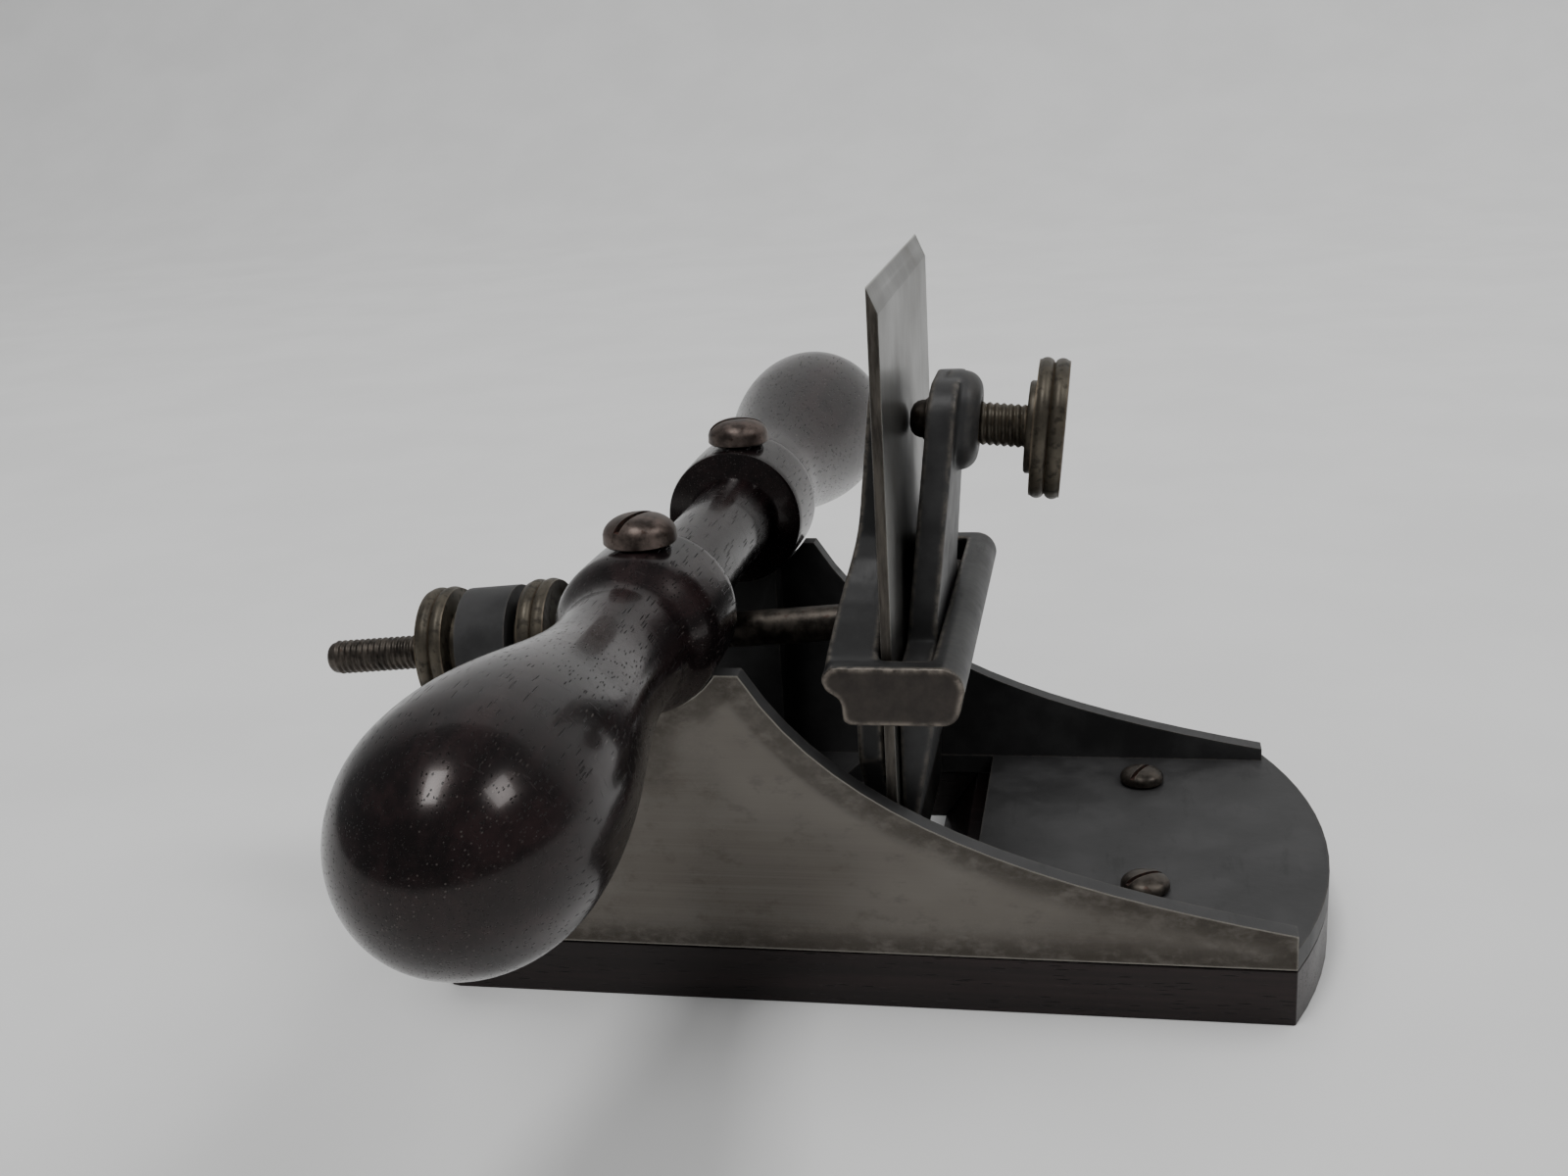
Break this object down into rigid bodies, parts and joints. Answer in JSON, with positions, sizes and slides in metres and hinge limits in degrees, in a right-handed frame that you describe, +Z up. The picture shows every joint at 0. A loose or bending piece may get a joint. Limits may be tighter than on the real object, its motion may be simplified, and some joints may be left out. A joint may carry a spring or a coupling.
{
  "type": "cabinet scraper plane",
  "caption": "Cast iron scraper plane with a wooden sole, an upright blade in a tilting frog set by a threaded rod and nuts, and a turned cross handle.",
  "frame": {"origin": "under the middle of the bounding box, on the face of the sole", "axes": "+X from heel to toe, the way the tool is pushed; +Y along the cross handle and the blade's edge; +Z up from the sole"},
  "size_m": [0.1966, 0.2804, 0.1265],
  "materials": {
    "ground_iron": "ground cheeks, black japanning inside",
    "worn_japanning": "worn black japanning",
    "dark_rosewood": "oiled and polished",
    "blade_steel": "satin",
    "browned_steel": "dark patina",
    "dull_brass": "dark patina"
  },
  "bodies": {
    "bed": {"body_casting": "ground_iron", "wood_sole": "dark_rosewood", "sole_screw_front_near": "browned_steel", "sole_screw_front_far": "browned_steel", "sole_screw_rear_near": "browned_steel", "sole_screw_rear_far": "browned_steel", "handle": "dark_rosewood", "handle_screw_near": "browned_steel", "handle_screw_far": "browned_steel", "frog_pivot_pin": "browned_steel"},
    "frog": {"frog": "worn_japanning", "rod_pin": "browned_steel"},
    "rod": {"adjusting_rod": "browned_steel"},
    "front_nut": {"front_nut": "dull_brass"},
    "rear_nut": {"rear_nut": "dull_brass"},
    "blade": {"blade": "blade_steel"},
    "lever_cap": {"lever_cap": "worn_japanning"},
    "thumbscrew": {"thumbscrew": "dull_brass"}
  },
  "joints": [
    {"name": "frog_tilt", "type": "hinge", "parent": "bed", "child": "frog", "pos_m": [0.0146, 0, 0.02], "axis": [0, 1, 0], "range_deg": [0, 12]},
    {"name": "rod_swing", "type": "hinge", "parent": "frog", "child": "rod", "pos_m": [0.013, 0, 0.0583], "axis": [0, 1, 0], "range_deg": [-11.16, 0]},
    {"name": "rear_nut_turn", "type": "hinge", "parent": "bed", "child": "rear_nut", "pos_m": [0.013, 0, 0.0583], "axis": [-0.9969, 0, -0.0785], "range_deg": [0, 2300]},
    {"name": "front_nut_turn", "type": "hinge", "parent": "bed", "child": "front_nut", "pos_m": [0.013, 0, 0.0583], "axis": [-0.9969, 0, -0.0785], "range_deg": [0, 2300]},
    {"name": "blade_slide", "type": "slide", "parent": "frog", "child": "blade", "axis": [0, 0, 1], "range_m": [-0.0112, 0.02]},
    {"name": "lever_cap_lift", "type": "slide", "parent": "frog", "child": "lever_cap", "axis": [0, 0, 1], "range_m": [0, 0.045]},
    {"name": "thumbscrew_turn", "type": "hinge", "parent": "lever_cap", "child": "thumbscrew", "pos_m": [0.0222, 0, 0.0977], "axis": [0.9954, 0, -0.0958], "range_deg": [0, 1080]}
  ],
  "couplings": [
    {"joint": "rod_swing", "follows": "frog_tilt", "ratio": -0.93},
    {"joint": "rear_nut_turn", "follows": "frog_tilt", "ratio": 190},
    {"joint": "front_nut_turn", "follows": "frog_tilt", "ratio": 190}
  ]
}
